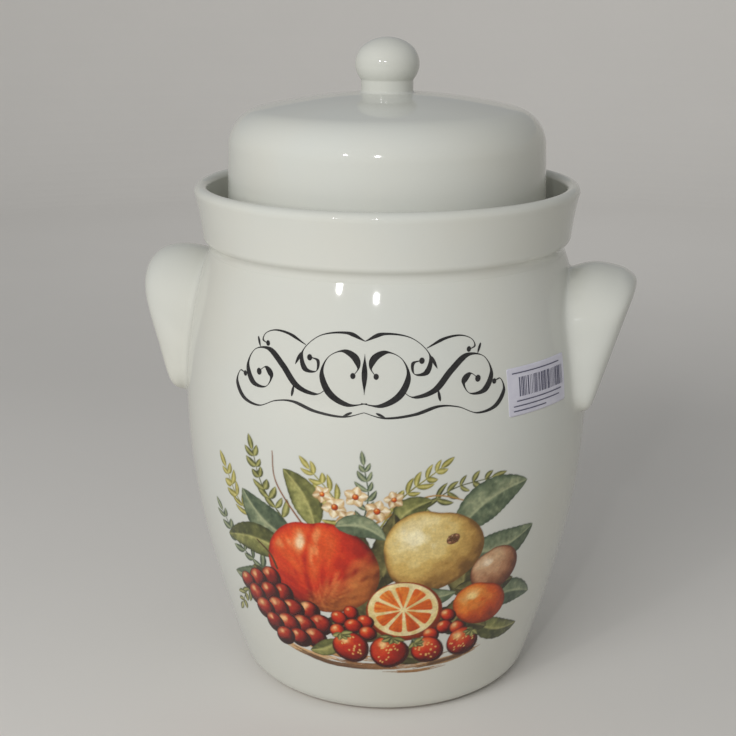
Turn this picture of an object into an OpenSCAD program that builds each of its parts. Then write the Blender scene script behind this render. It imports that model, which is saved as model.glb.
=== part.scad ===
// Rumtopf pot: a glazed barrel crock with a gutter rim, two lug handles and a domed lid.
// The origin is the centre of the base. The decorated front faces -Y and the handles lie on X.

/* [Crock] */
// Widest outside diameter of the barrel
belly_d = 210; // [196:1:224]
// Height of the widest ring above the table
belly_z = 152; // [144:1:160]
// Arc radius of the barrel side above the widest ring
shoulder_arc_r = 218; // [200:1:260]
// Arc radius of the barrel side below the widest ring
belly_arc_r = 355; // [320:1:420]
// Height where the side straightens towards the foot
heel_turn_z = 75; // [60:1:95]
// Arc radius of the side near the foot
heel_arc_r = 700; // [500:10:1000]
// Outside rounding radius at the foot
foot_edge_r = 13; // [9:1:16]
// Height of the joint line under the collar
joint_z = 232.5; // [226:0.5:238]
// Thickness of the barrel wall
wall_t = 6; // [4:0.5:8]
// Thickness of the floor
floor_t = 8; // [6:0.5:12]
// Rounding radius between floor and wall, inside
floor_edge_r = 14; // [8:1:20]
// Rounding radius between wall and gutter floor, inside
ceiling_edge_r = 9; // [5:1:12]
// Width of the flat standing ring
foot_ring_w = 9; // [6:1:14]
// Depth of the hollow inside the standing ring
foot_hollow = 3; // [2:0.5:5]

/* [Neck and gutter] */
// Thickness of the inner neck
neck_t = 6.5; // [5:0.5:8]
// Height of the inner neck above the gutter floor
neck_h = 32; // [24:1:40]
// Clearance between the inner neck and the lid
neck_clear = 4; // [2.5:0.5:6]
// Clearance between the lid and the collar at the gutter floor
gutter_clear = 8; // [5:0.5:12]
// Thickness of the gutter floor
gutter_floor_t = 8; // [6:0.5:10]
// Height of the gutter floor above the joint line
gutter_lift = 3.8; // [2:0.1:6]

/* [Collar] */
// How far the collar's foot stands out from the barrel's top
collar_step = 4.6; // [3:0.2:7]
// How far the rim stands out from the collar's foot
rim_flare = 3.6; // [1:0.2:7]
// Height of the collar from the joint line to the rim
collar_h = 29.1; // [24:0.1:36]
// Thickness of the rounded rim
rim_t = 7; // [5:0.5:9]
// Thickness of the collar beside the gutter floor
collar_foot_t = 6.2; // [5:0.1:8]
// Rounding radius under the collar
collar_edge_r = 4; // [2:0.5:5]

/* [Lid] */
// Thickness of the lid
lid_t = 5.5; // [4:0.5:6]
// Height of the lid's straight side
lid_side_h = 43.7; // [38:0.1:56]
// Rounding radius between the lid's side and its top
lid_edge_r = 19; // [14:1:24]
// Sphere radius of the lid's top
lid_dome_r = 285; // [180:1:400]
// Rounding radius at the lid's lower edge
lid_foot_edge_r = 1.5; // [0.5:0.25:2]

/* [Knob] */
// Widest diameter of the knob
knob_d = 32.2; // [28:0.2:40]
// Height of the knob's ball
knob_h = 26; // [22:0.2:28]
// Side arc radius of the ball
knob_side_r = 11.5; // [9:0.1:12]
// Height of the ball's centre above the lid
knob_rise = 13.8; // [12:0.1:18]
// Diameter of the stem under the ball
stem_d = 26.2; // [20:0.2:28]
// Flare radius where the stem meets the lid
stem_flare_r = 1.4; // [0.6:0.1:3]

/* [Handles] */
// Widest width of a handle
lug_w = 68; // [58:0.5:78]
// Width of the handle's rounded top
lug_top_w = 64.5; // [50:0.5:68]
// Height of the handle
lug_h = 72; // [60:0.5:84]
// Distance from the joint line down to the handle's highest point
lug_drop = 9; // [5:0.5:16]
// Lean of the outer face from upright, in degrees
lug_lean = 17.8; // [12:0.2:22]
// How far the outer face stands out from the barrel at the low end
lug_low_out = 3; // [1:0.5:8]
// Rounding radius of the handle's edges
lug_edge_r = 9; // [6:0.5:12]
// Rounding radius of the edges at the low end
lug_low_edge_r = 5.5; // [3:0.5:9]
// Widening of the handle from its face to its root
lug_draft = 2; // [0:0.5:4]
// How far the handle's root lies above its face, towards the pot's axis
lug_root_rise = 12; // [0:0.5:14]
// Corner radius of the handle's low end
lug_corner_r = 12; // [10:0.5:20]

/* [Weighing stones] */
// Thickness of a stone
stone_t = 16; // [10:1:24]
// Clearance between the stones and the mouth
stone_clear = 3; // [2:0.5:6]
// Gap between the two stones
stone_gap = 4; // [2:0.5:8]
// Diameter of the finger hole that the two stones share
stone_hole_d = 26; // [18:1:34]
// Rounding radius of a stone's curved edge
stone_edge_r = 3; // [1:0.5:5]

/* [Label] */
// Width of the paper label
label_w = 41.5; // [30:0.5:50]
// Height of the paper label
label_h = 23; // [16:0.5:30]
// Thickness of the paper label
label_t = 0.25; // [0.15:0.05:0.5]
// Direction of the label from the front, in degrees
label_turn = 55; // [45:0.1:56]
// Height of the label's centre
label_z = 175.5; // [168:0.1:190]
// Tilt of the label, in degrees
label_tilt = 0.5; // [-8:0.5:8]

/* [Hidden] */

glaze = [0.90, 0.89, 0.84];
stoneware = [0.78, 0.74, 0.66];
paper = [0.87, 0.86, 0.92];

round_fn = 240;
arc_fn = 720;
lug_fn = 40;

function corner_r(c, r, q, z) = c[0] + sqrt(pow(r - q, 2) - pow(z - c[1], 2));
function corner_turn(c, r, q, z) = z + q * (z - c[1]) / (r - q);

// Barrel side: three arcs, each centre on the last one's normal
belly_r = belly_d / 2;
shoulder_c = [belly_r - shoulder_arc_r, belly_z];
belly_c = [belly_r - belly_arc_r, belly_z];
heel_sin = (belly_z - heel_turn_z) / belly_arc_r;
heel_cos = sqrt(1 - heel_sin * heel_sin);
heel_c = belly_c + (belly_arc_r - heel_arc_r) * [heel_cos, -heel_sin];

// Heights of the crock
floor_z = foot_hollow + floor_t;
gutter_z = joint_z + gutter_lift;
ceiling_z = gutter_z - gutter_floor_t;
rim_z = joint_z + collar_h;
lug_top_z = joint_z - lug_drop;
lug_low_z = lug_top_z - lug_h;

// Radii from the barrel's top inwards: collar, gutter, lid, neck and mouth
joint_r = corner_r(shoulder_c, shoulder_arc_r, 0, joint_z);
collar_r = joint_r + collar_step;
rim_r = collar_r + rim_flare;
lip_r = rim_t / 2;
gutter_r = collar_r - collar_foot_t;
lid_r = gutter_r - gutter_clear;
neck_r = lid_r - lid_t - neck_clear;
mouth_r = neck_r - neck_t;

// Heights of the lid
lid_turn_z = gutter_z + lid_side_h;
lid_dome_z = lid_turn_z - sqrt(pow(lid_dome_r - lid_edge_r, 2) - pow(lid_r - lid_edge_r, 2));
lid_top_z = lid_dome_z + lid_dome_r;

// The knob's top arc touches its side arc
knob_r = knob_d / 2;
knob_half_h = knob_h / 2;
knob_z = lid_top_z + knob_rise;
knob_side_x = knob_r - knob_side_r;
knob_top_r = (pow(knob_side_x, 2) + pow(knob_half_h, 2) - pow(knob_side_r, 2))
             / (2 * (knob_half_h - knob_side_r));
knob_turn_x = knob_side_x * knob_top_r / (knob_top_r - knob_side_r);

// Sizes that only need to be larger than what they cut
reach = belly_d;
overrun = 1;

// The part of a disc between two heights
module disc_band(c, r, z0, z1) {
    intersection() {
        translate(c) circle(r = r, $fn = arc_fn);
        translate([0, z0]) square([reach, z1 - z0]);
    }
}

// The barrel's filled outline between two heights, with a rounded low edge,
// grown outwards by a given amount and capped with a rounded or a plain top edge.
// Each disc lies inside the next larger one, so its band overlaps that one's band
// and no seam is left between them.
module barrel_outline(grow, z_low, q_low, z_high, q_high) {
    heel_r = heel_arc_r + grow;
    shoulder_r = shoulder_arc_r + grow;
    turn_z = heel_turn_z - grow * heel_sin;
    low_r = corner_r(heel_c, heel_r, q_low, z_low + q_low);
    low_z = corner_turn(heel_c, heel_r, q_low, z_low + q_low);
    high_r = corner_r(shoulder_c, shoulder_r, q_high, z_high - q_high);
    high_z = corner_turn(shoulder_c, shoulder_r, q_high, z_high - q_high);
    translate([0, z_low]) square([low_r, 2 * q_low]);
    disc_band([low_r, z_low + q_low], q_low, z_low, z_low + 2 * q_low);
    disc_band(heel_c, heel_r, low_z, turn_z);
    disc_band(belly_c, belly_arc_r + grow, low_z, belly_z);
    disc_band(shoulder_c, shoulder_r, turn_z, high_z);
    if (q_high > 0) {
        disc_band([high_r, z_high - q_high], q_high, z_high - 2 * q_high, z_high);
        translate([0, z_high - 2 * q_high]) square([high_r, 2 * q_high]);
    }
}

module barrel_solid(grow = 0) {
    rotate_extrude($fn = round_fn)
        barrel_outline(grow, -grow, foot_edge_r + grow, joint_z, 0);
}

module crock_section() {
    ring_r = corner_r(heel_c, heel_arc_r, foot_edge_r, foot_edge_r) - foot_ring_w;
    difference() {
        union() {
            barrel_outline(0, 0, foot_edge_r, joint_z, 0);
            translate([0, ceiling_z]) square([gutter_r, gutter_floor_t]);
        }
        barrel_outline(-wall_t, floor_z, floor_edge_r, ceiling_z, ceiling_edge_r);
        translate([0, ceiling_z - overrun]) square([mouth_r, gutter_floor_t + 2 * overrun]);
        translate([0, -overrun]) square([ring_r, foot_hollow + overrun]);
    }
}

// Barrel, floor, standing ring and gutter floor
module crock_body() {
    color(glaze) rotate_extrude($fn = round_fn) crock_section();
}

// Throat that the lid covers, with a full-round top
module inner_neck() {
    bead_r = neck_t / 2;
    color(glaze) rotate_extrude($fn = round_fn) {
        translate([mouth_r, gutter_z]) square([neck_t, neck_h - bead_r]);
        translate([mouth_r + bead_r, gutter_z + neck_h - bead_r]) circle(r = bead_r, $fn = arc_fn);
    }
}

// Flared outer wall of the gutter
module rim_collar() {
    edge_x = collar_r - collar_edge_r;
    edge_z = joint_z + collar_edge_r;
    lip_z = rim_z - lip_r;
    color(glaze) rotate_extrude($fn = round_fn) {
        polygon([
            [gutter_r, joint_z],
            [edge_x, joint_z],
            [edge_x, edge_z],
            [collar_r, edge_z],
            [rim_r, lip_z],
            [rim_r - rim_t, lip_z],
            [gutter_r, gutter_z]
        ]);
        intersection() {
            translate([edge_x, edge_z]) circle(r = collar_edge_r, $fn = arc_fn);
            translate([gutter_r, joint_z]) square([collar_foot_t, 2 * collar_edge_r]);
        }
        translate([rim_r - lip_r, lip_z]) circle(r = lip_r, $fn = arc_fn);
    }
}

// A disc with a full-round edge, for hulls
module edge_disc(r, edge_r) {
    rotate_extrude($fn = lug_fn) translate([r - edge_r, 0]) circle(r = edge_r, $fn = lug_fn);
}

// Solid ear with a leaning outer face, cut to the barrel.
// Each disc of the hull is [height, radius, edge radius, sideways place].
module lug() {
    top_z = lug_top_z - lug_edge_r - (lug_top_w / 2 - lug_edge_r) * cos(lug_lean);
    mid_z = top_z - lug_w / 4 * cos(lug_lean);
    low_z = lug_low_z + lug_low_edge_r + (lug_corner_r - lug_low_edge_r) * cos(lug_lean);
    low_y = lug_w / 2 - lug_corner_r;
    discs = [
        [top_z, lug_top_w / 2, lug_edge_r, 0],
        [mid_z, lug_w / 2, lug_edge_r, 0],
        [low_z, lug_corner_r, lug_low_edge_r, low_y],
        [low_z, lug_corner_r, lug_low_edge_r, -low_y]
    ];
    difference() {
        hull() {
            for (d = discs) {
                face_x = belly_r + lug_low_out + (d[0] - lug_low_z) * tan(lug_lean);
                translate([face_x - d[2] / cos(lug_lean), d[3], d[0]])
                    rotate([0, 90 + lug_lean, 0]) edge_disc(d[1], d[2]);
            }
            translate([belly_r / 2, 0, mid_z + lug_root_rise])
                rotate([0, 90, 0]) cylinder(d = lug_w + lug_draft, h = 1, $fn = lug_fn);
        }
        barrel_solid();
    }
}

module left_handle() {
    color(glaze) mirror([1, 0, 0]) lug();
}

module right_handle() {
    color(glaze) lug();
}

// The lid's filled outline, shrunk inwards by a given amount
module lid_outline(shrink) {
    edge_r = lid_edge_r - shrink;
    edge_x = lid_r - lid_edge_r;
    dome_r = lid_dome_r - shrink;
    low_z = gutter_z - shrink;
    intersection() {
        translate([0, lid_dome_z]) circle(r = dome_r, $fn = arc_fn);
        translate([0, low_z]) square([edge_x * dome_r / (dome_r - edge_r), lid_dome_r]);
    }
    translate([edge_x, lid_turn_z]) circle(r = edge_r, $fn = arc_fn);
    translate([0, low_z]) square([lid_r - shrink, lid_turn_z - low_z]);
}

// Domed shell that stands in the gutter on a foot with two rounded edges
module lid_shell() {
    foot_z = gutter_z + lid_foot_edge_r;
    foot_in_x = lid_r - lid_t + lid_foot_edge_r;
    foot_out_x = lid_r - lid_foot_edge_r;
    color(glaze) rotate_extrude($fn = round_fn) {
        difference() {
            lid_outline(0);
            lid_outline(lid_t);
            translate([0, gutter_z - overrun]) square([reach, lid_foot_edge_r + overrun]);
        }
        translate([foot_in_x, gutter_z]) square([foot_out_x - foot_in_x, lid_foot_edge_r]);
        for (x = [foot_in_x, foot_out_x])
            translate([x, foot_z]) circle(r = lid_foot_edge_r, $fn = arc_fn);
    }
}

// Ball, stem and flare, cut to the lid's top
module lid_knob() {
    stem_r = stem_d / 2;
    flare_r = stem_r + stem_flare_r;
    flare_z = lid_top_z + stem_flare_r;
    color(glaze) difference() {
        rotate_extrude($fn = round_fn) {
            intersection() {
                translate([0, knob_z + knob_half_h - knob_top_r]) circle(r = knob_top_r, $fn = arc_fn);
                translate([0, knob_z - knob_half_h + knob_top_r]) circle(r = knob_top_r, $fn = arc_fn);
                translate([0, knob_z - knob_half_h]) square([knob_turn_x, knob_h]);
            }
            intersection() {
                translate([knob_side_x, knob_z]) circle(r = knob_side_r, $fn = arc_fn);
                translate([0, knob_z - knob_side_r]) square([knob_d, 2 * knob_side_r]);
            }
            translate([0, lid_turn_z]) square([stem_r, knob_z - lid_turn_z]);
            difference() {
                translate([0, lid_turn_z]) square([flare_r, flare_z - lid_turn_z]);
                translate([flare_r, flare_z]) circle(r = stem_flare_r, $fn = arc_fn);
            }
        }
        translate([0, 0, lid_dome_z]) sphere(r = lid_dome_r, $fn = arc_fn);
    }
}

// Half-moon stone that holds the fruit under the rum
module stone() {
    stone_r = mouth_r - stone_clear;
    difference() {
        translate([0, 0, floor_z]) rotate_extrude($fn = round_fn) {
            square([stone_r - stone_edge_r, stone_t]);
            translate([0, stone_edge_r]) square([stone_r, stone_t - 2 * stone_edge_r]);
            for (z = [stone_edge_r, stone_t - stone_edge_r])
                translate([stone_r - stone_edge_r, z]) circle(r = stone_edge_r, $fn = arc_fn);
        }
        translate([stone_gap / 2 - reach, -reach / 2, floor_z - overrun])
            cube([reach, reach, stone_t + 2 * overrun]);
        translate([0, 0, floor_z - overrun]) cylinder(d = stone_hole_d, h = stone_t + 2 * overrun, $fn = round_fn);
    }
}

module left_weight() {
    color(stoneware) mirror([1, 0, 0]) stone();
}

module right_weight() {
    color(stoneware) stone();
}

// Blank paper patch on the barrel, beside the right handle
module price_label() {
    color(paper) intersection() {
        difference() {
            barrel_solid(label_t);
            barrel_solid();
        }
        rotate([0, 0, label_turn - 90]) translate([0, 0, label_z]) rotate([label_tilt, 0, 0])
            translate([0, -label_w / 2, -label_h / 2]) cube([reach, label_w, label_h]);
    }
}

crock_body();
inner_neck();
rim_collar();
left_handle();
right_handle();
lid_shell();
lid_knob();
left_weight();
right_weight();
price_label();
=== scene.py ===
"""Looks for the rumtopf pot. Lengths are in metres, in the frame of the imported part:
the origin is the centre of the base, the decorated front faces -Y, the handles lie on X."""

import math
import random

import bmesh
import bpy
import numpy as np
from mathutils import Matrix, Vector
from mathutils.bvhtree import BVHTree


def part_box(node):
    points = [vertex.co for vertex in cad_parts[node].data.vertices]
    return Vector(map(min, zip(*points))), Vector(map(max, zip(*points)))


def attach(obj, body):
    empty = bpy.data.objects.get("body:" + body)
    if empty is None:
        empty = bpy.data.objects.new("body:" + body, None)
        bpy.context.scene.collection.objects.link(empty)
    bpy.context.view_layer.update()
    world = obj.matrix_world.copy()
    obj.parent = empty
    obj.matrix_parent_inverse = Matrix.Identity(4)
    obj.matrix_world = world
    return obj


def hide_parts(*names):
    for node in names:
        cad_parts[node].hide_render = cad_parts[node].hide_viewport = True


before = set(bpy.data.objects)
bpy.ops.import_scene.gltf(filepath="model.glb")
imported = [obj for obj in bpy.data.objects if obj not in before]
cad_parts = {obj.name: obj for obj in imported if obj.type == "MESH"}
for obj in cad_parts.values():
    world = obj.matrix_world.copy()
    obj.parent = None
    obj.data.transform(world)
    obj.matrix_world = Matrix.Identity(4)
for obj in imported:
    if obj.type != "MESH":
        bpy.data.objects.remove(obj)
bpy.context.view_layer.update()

MM = 0.001

# Barrel side: the same three arcs as the part's, each centre on the last one's normal
BELLY_R = 105 * MM
BELLY_Z = 152 * MM
SHOULDER_ARC_R = 218 * MM
BELLY_ARC_R = 355 * MM
HEEL_ARC_R = 700 * MM
HEEL_TURN_Z = 75 * MM
FOOT_EDGE_R = 13 * MM
FOOT_RING_W = 9 * MM
FOOT_HOLLOW = 3 * MM
WALL_T = 6 * MM
FLOOR_Z = 11 * MM
FLOOR_EDGE_R = 14 * MM
JOINT_Z = 232.5 * MM
CEILING_EDGE_R = 9 * MM
SHOULDER_C = (BELLY_R - SHOULDER_ARC_R, BELLY_Z)
BELLY_C = (BELLY_R - BELLY_ARC_R, BELLY_Z)
HEEL_SIN = (BELLY_Z - HEEL_TURN_Z) / BELLY_ARC_R
HEEL_COS = math.sqrt(1 - HEEL_SIN * HEEL_SIN)
HEEL_C = (BELLY_C[0] + (BELLY_ARC_R - HEEL_ARC_R) * HEEL_COS,
          BELLY_C[1] - (BELLY_ARC_R - HEEL_ARC_R) * HEEL_SIN)

# Gutter, neck and collar
GUTTER_Z = 236.3 * MM
GUTTER_FLOOR_T = 8 * MM
CEILING_Z = GUTTER_Z - GUTTER_FLOOR_T
JOINT_R = SHOULDER_C[0] + math.sqrt(SHOULDER_ARC_R ** 2 - (JOINT_Z - BELLY_Z) ** 2)
COLLAR_R = JOINT_R + 4.6 * MM
COLLAR_EDGE_R = 4 * MM
RIM_R = COLLAR_R + 3.6 * MM
RIM_Z = JOINT_Z + 29.1 * MM
LIP_R = 3.5 * MM
GUTTER_R = COLLAR_R - 6.2 * MM
NECK_T = 6.5 * MM
NECK_H = 32 * MM

# Lid and knob
LID_R = GUTTER_R - 8 * MM
LID_T = 5.5 * MM
LID_EDGE_R = 19 * MM
LID_FOOT_EDGE_R = 1.5 * MM
LID_DOME_R = 285 * MM
LID_TURN_Z = GUTTER_Z + 43.7 * MM
LID_DOME_Z = LID_TURN_Z - math.sqrt((LID_DOME_R - LID_EDGE_R) ** 2 - (LID_R - LID_EDGE_R) ** 2)
LID_TOP_Z = LID_DOME_Z + LID_DOME_R
NECK_R = LID_R - LID_T - 4 * MM
MOUTH_R = NECK_R - NECK_T
KNOB_R = 16.1 * MM
KNOB_HALF_H = 13 * MM
KNOB_SIDE_R = 11.5 * MM
KNOB_Z = LID_TOP_Z + 13.8 * MM
STEM_R = 13.1 * MM

# Handles
LUG_W = 68 * MM
LUG_TOP_W = 64.5 * MM
LUG_TOP_Z = 225 * MM
LUG_LOW_Z = 151.5 * MM
LUG_LEAN = math.radians(17.8)
LUG_LOW_OUT = 3 * MM
LUG_EDGE_R = 9 * MM
LUG_LOW_EDGE_R = 4.2 * MM
LUG_DRAFT = 2 * MM
LUG_ROOT_RISE = 12 * MM
LUG_CORNER_R = 12 * MM

# Weighing stones
STONE_R = MOUTH_R - 3 * MM
STONE_T = 16 * MM
STONE_GAP = 4 * MM
STONE_HOLE_R = 13 * MM
STONE_EDGE_R = 3 * MM
STONE_EASING = 70

# Label
LABEL_W = 41.5 * MM
LABEL_H = 23 * MM
LABEL_T = 0.25 * MM
LABEL_TURN = math.radians(55)
LABEL_Z = 175.5 * MM
LABEL_TILT = math.radians(0.5)


# Meshes

def new_object(name, data):
    obj = bpy.data.objects.new(name, data)
    bpy.context.scene.collection.objects.link(obj)
    return obj


def new_mesh(name, points, faces, material):
    mesh = bpy.data.meshes.new(name)
    mesh.from_pydata([tuple(p) for p in points], [], [tuple(f) for f in faces])
    mesh.materials.append(material)
    mesh.validate()
    mesh.shade_smooth()
    return new_object(name, mesh)


def quads(rows, columns, start=0, rings=False):
    """Faces of a grid of points, numbered row by row from start. Rows can close into rings."""
    faces = []
    for i in range(rows - 1):
        a = start + i * columns
        b = a + columns
        for j in range(columns if rings else columns - 1):
            k = (j + 1) % columns
            faces.append((a + j, b + j, b + k, a + k))
    return faces


def fan(count):
    """Faces round point 0 in a ring of count points that follow it."""
    return [(0, 1 + j, 1 + (j + 1) % count) for j in range(count)]


def arc(cx, cz, r, start, end, n):
    """Points on a circle of the section, from one angle to another, in degrees from +R to +Z."""
    turns = np.radians(np.linspace(start, end, n + 1))
    return [(cx + r * math.cos(t), cz + r * math.sin(t)) for t in turns]


def spread(points, step):
    """The section with long straight stretches divided, so smooth shading stays even."""
    out = [points[0]]
    for a, b in zip(points, points[1:]):
        length = math.dist(a, b)
        if length < 1e-7:
            continue
        n = max(1, math.ceil(length / step))
        out += [(a[0] + (b[0] - a[0]) * i / n, a[1] + (b[1] - a[1]) * i / n) for i in range(1, n + 1)]
    return out


def lathe(name, section, material, turns=384, closed=False):
    """Turns a section of (radius, height) points about Z. A closed section makes a ring."""
    section = spread(section + section[:1] if closed else section, 4 * MM)
    if closed:
        section.pop()
    angles = [2 * math.pi * i / turns for i in range(turns)]
    points = []
    rows = []
    for r, z in section:
        on_axis = r < 1e-6
        rows.append([len(points) + (0 if on_axis else i) for i in range(turns)])
        points += [(r * math.cos(a), r * math.sin(a), z) for a in (angles[:1] if on_axis else angles)]
    faces = []
    for low, high in zip(rows, rows[1:] + rows[:1] if closed else rows[1:]):
        for i in range(turns):
            j = (i + 1) % turns
            quad = [low[i], low[j], high[j], high[i]]
            faces.append([v for k, v in enumerate(quad) if v != quad[k - 1]])
    return turned_outward(new_mesh(name, points, faces, material))


def turned_outward(obj):
    bm = bmesh.new()
    bm.from_mesh(obj.data)
    bmesh.ops.recalc_face_normals(bm, faces=bm.faces)
    bm.to_mesh(obj.data)
    bm.free()
    return obj


def corner(c, r, q, z):
    """Radius of the centre of a rounding of radius q inside an arc of the side."""
    return c[0] + math.sqrt((r - q) ** 2 - (z - c[1]) ** 2)


def barrel_r(z, grow=0.0):
    """Radius of the barrel's side at a height above the foot's rounding."""
    if z >= BELLY_Z:
        c, r = SHOULDER_C, SHOULDER_ARC_R + grow
    elif z >= HEEL_TURN_Z - grow * HEEL_SIN:
        c, r = BELLY_C, BELLY_ARC_R + grow
    else:
        c, r = HEEL_C, HEEL_ARC_R + grow
    return c[0] + math.sqrt(r * r - (z - c[1]) ** 2)


def barrel_side(grow, z_low, q_low, z_high, q_high, n):
    """The barrel's side from its rounded low edge to its rounded or plain top edge."""
    low_x = corner(HEEL_C, HEEL_ARC_R + grow, q_low, z_low + q_low)
    low_turn = math.degrees(math.atan2(z_low + q_low - HEEL_C[1], low_x - HEEL_C[0]))
    points = arc(low_x, z_low + q_low, q_low, -90, low_turn, 14)
    z0 = points[-1][1]
    z1 = z_high
    top = []
    if q_high > 0:
        high_x = corner(SHOULDER_C, SHOULDER_ARC_R + grow, q_high, z_high - q_high)
        high_turn = math.degrees(math.atan2(z_high - q_high - SHOULDER_C[1], high_x - SHOULDER_C[0]))
        top = arc(high_x, z_high - q_high, q_high, high_turn, 90, 12)
        z1 = top[0][1]
    for i in range(1, n):
        z = z0 + (z1 - z0) * i / n
        points.append((barrel_r(z, grow), z))
    return points + (top or [(barrel_r(z1, grow), z1)])


def wall_point(across, z, lift=0.0):
    """A point on the barrel: across is the distance round the wall from the front's middle."""
    r = barrel_r(z)
    turn = across / r
    slope = (barrel_r(z + MM) - barrel_r(z - MM)) / (2 * MM)
    flat = 1 / math.sqrt(1 + slope * slope)
    out = r + lift * flat
    return (out * math.sin(turn), -out * math.cos(turn), z - lift * slope * flat)


# Materials

def node_material(name):
    material = bpy.data.materials.new(name)
    material.use_nodes = True
    tree = material.node_tree
    return material, tree, tree.nodes["Principled BSDF"]


def plug(tree, value, socket):
    """Links another node's output to a socket, or sets the socket's own number or colour."""
    if isinstance(value, bpy.types.NodeSocket):
        tree.links.new(value, socket)
    else:
        socket.default_value = value + (1.0,) if isinstance(value, tuple) else value


def fill(tree, node, **values):
    """Sets a node's own settings, and its sockets by their names."""
    for key, value in values.items():
        if hasattr(node, key):
            setattr(node, key, value)
        else:
            plug(tree, value, node.inputs[key.replace("_", " ")])
    return node


def add(tree, kind, **values):
    return fill(tree, tree.nodes.new("ShaderNode" + kind), **values)


def noise(tree, scale, detail=2.0, roughness=0.5):
    place = add(tree, "TexCoord").outputs["Object"]
    node = add(tree, "TexNoise", Vector=place, Scale=scale, Detail=detail, Roughness=roughness)
    return node.outputs["Fac"]


def ramp(tree, value, *stops):
    node = add(tree, "ValToRGB", Fac=value)
    items = node.color_ramp.elements
    while len(items) < len(stops):
        items.new(0.5)
    for item, (place, colour) in zip(items, stops):
        item.position = place
        item.color = colour + (1.0,)
    return node.outputs["Color"]


def mix(tree, fac, a, b, mode="MIX"):
    node = add(tree, "Mix", data_type="RGBA", blend_type=mode)
    for value, number in ((fac, 0), (a, 6), (b, 7)):
        plug(tree, value, node.inputs[number])
    return node.outputs[2]


def maths(tree, operation, a, b):
    node = add(tree, "Math", operation=operation)
    plug(tree, a, node.inputs[0])
    plug(tree, b, node.inputs[1])
    return node.outputs[0]


def map_range(tree, value, low, high, to_low, to_high):
    node = add(tree, "MapRange", Value=value, From_Min=low, From_Max=high, To_Min=to_low, To_Max=to_high)
    return node.outputs["Result"]


def varied(tree, low, high, scale, detail=2.0):
    """A number that noise moves between low and high."""
    return map_range(tree, noise(tree, scale, detail), 0.3, 0.7, low, high)


def bump(tree, height, distance, strength):
    return add(tree, "Bump", Strength=strength, Distance=distance, Height=height).outputs["Normal"]


GLAZE = (0.648, 0.652, 0.595)
GLAZE_WARM = (0.643, 0.636, 0.562)
GLAZE_COOL = (0.640, 0.656, 0.612)
WHITE = (1.0, 1.0, 1.0)


def glaze_surface(tree, shader):
    """The wavy, glossy top of the glaze, shared by everything under it."""
    fine = maths(tree, "MULTIPLY", noise(tree, 420), 0.012)
    height = maths(tree, "ADD", noise(tree, 28, 1.5, 0.4), fine)
    fill(tree, shader, IOR=1.52, Normal=bump(tree, height, 0.0006, 0.55),
         Roughness=varied(tree, 0.045, 0.085, 60, 3.0))


def glaze_colour(tree):
    """Cream, a little warmer or cooler from place to place, with a few faint specks."""
    colour = ramp(tree, noise(tree, 9, 3.0, 0.55), (0.30, GLAZE_COOL), (0.52, GLAZE), (0.75, GLAZE_WARM))
    specks = ramp(tree, noise(tree, 900, 1.0, 0.3), (0.0, (0.93, 0.89, 0.80)), (0.24, WHITE))
    return mix(tree, 0.6, colour, specks, "MULTIPLY")


def glaze_material():
    material, tree, shader = node_material("cream_glaze")
    fill(tree, shader, Base_Color=glaze_colour(tree))
    glaze_surface(tree, shader)
    return material


def crock_material():
    """Cream glaze, with a wiped unglazed foot ring."""
    material, tree, shader = node_material("cream_glaze_and_foot")
    clay = ramp(tree, noise(tree, 260, 4.0, 0.6), (0.3, (0.44, 0.36, 0.27)), (0.7, (0.56, 0.47, 0.36)))
    place = add(tree, "SeparateXYZ", Vector=add(tree, "TexCoord").outputs["Object"])
    edge = maths(tree, "ADD", place.outputs["Z"], maths(tree, "MULTIPLY", noise(tree, 45), 0.0008))
    bare = map_range(tree, edge, 0.0013, 0.0017, 1.0, 0.0)
    glaze_surface(tree, shader)
    fill(tree, shader, Base_Color=mix(tree, bare, glaze_colour(tree), clay),
         Roughness=map_range(tree, bare, 0.0, 1.0, 0.065, 0.75))
    return material


def stone_material():
    material, tree, shader = node_material("weight_stoneware")
    colour = ramp(tree, noise(tree, 55, 5.0, 0.6), (0.3, (0.40, 0.35, 0.28)), (0.7, (0.58, 0.52, 0.43)))
    grit = ramp(tree, noise(tree, 1100, 1.0, 0.4), (0.28, (0.45, 0.36, 0.28)), (0.36, WHITE))
    fill(tree, shader, Base_Color=mix(tree, 0.7, colour, grit, "MULTIPLY"),
         Roughness=varied(tree, 0.55, 0.75, 90), Normal=bump(tree, noise(tree, 700, 3.0, 0.6), 0.0003, 0.6))
    return material


def paper_material():
    material, tree, shader = node_material("label_paper")
    colour = ramp(tree, noise(tree, 120, 3.0, 0.6), (0.3, (0.62, 0.61, 0.70)), (0.7, (0.70, 0.69, 0.77)))
    fill(tree, shader, Base_Color=colour, Roughness=varied(tree, 0.38, 0.5, 300),
         Normal=bump(tree, noise(tree, 1500, 2.0, 0.6), 0.00008, 0.5))
    return material


def ink_material():
    material, tree, shader = node_material("label_ink")
    colour = ramp(tree, noise(tree, 900, 2.0, 0.6), (0.3, (0.05, 0.05, 0.10)), (0.75, (0.13, 0.13, 0.20)))
    fill(tree, shader, Base_Color=colour, Roughness=varied(tree, 0.4, 0.55, 500))
    return material


def script_material():
    """Near-black colour under the glaze, thinner in places as a transfer print is."""
    material, tree, shader = node_material("scroll_ink")
    dark, thin = (0.012, 0.012, 0.013), (0.035, 0.034, 0.034)
    fill(tree, shader, Base_Color=ramp(tree, noise(tree, 330, 3.0, 0.6), (0.25, dark), (0.8, thin)))
    glaze_surface(tree, shader)
    return material


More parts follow.
